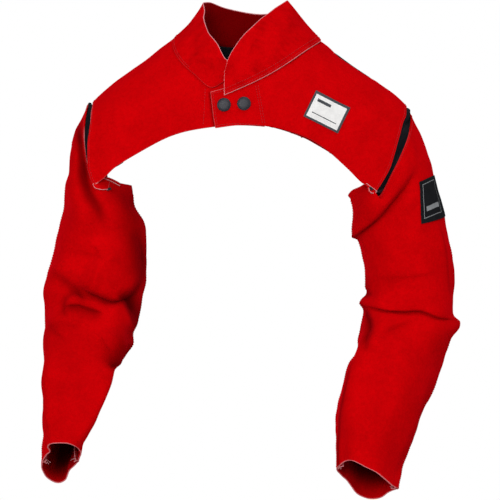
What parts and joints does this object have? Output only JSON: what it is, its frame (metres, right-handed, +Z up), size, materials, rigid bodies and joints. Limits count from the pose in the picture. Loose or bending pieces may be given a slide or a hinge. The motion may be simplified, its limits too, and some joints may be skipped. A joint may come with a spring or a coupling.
{
  "type": "welding cape sleeve",
  "caption": "Welding cape sleeve in red split leather: stand collar, lapped snap placket, cotton back, and bent sleeves hung from black gussets.",
  "frame": {"origin": "centre of the neck opening, level with the foot of the collar at its sides, where the neck and shoulders carry the garment", "axes": "+Z up, -Y to the wearer's front, +X to the wearer's left"},
  "size_m": [0.6183, 0.2941, 0.7366],
  "materials": {
    "suede_leather": "matte napped split leather, bright red, with pale raw edges",
    "black_cotton": "matte black woven cotton",
    "snap_enamel": "satin slate enamel",
    "patch_print": "matte pale print with a dark border",
    "woven_label": "matte black weave with a pale frame line"
  },
  "bodies": {
    "root": {"collar": "suede_leather", "front_right": "suede_leather", "front_left": "suede_leather", "back_panel": "black_cotton", "gusset_right": "black_cotton", "gusset_left": "black_cotton", "sleeve_right": "suede_leather", "sleeve_left": "suede_leather", "snap_outer": "snap_enamel", "snap_inner": "snap_enamel", "chest_patch": "patch_print", "sleeve_label": "woven_label"}
  },
  "joints": []
}
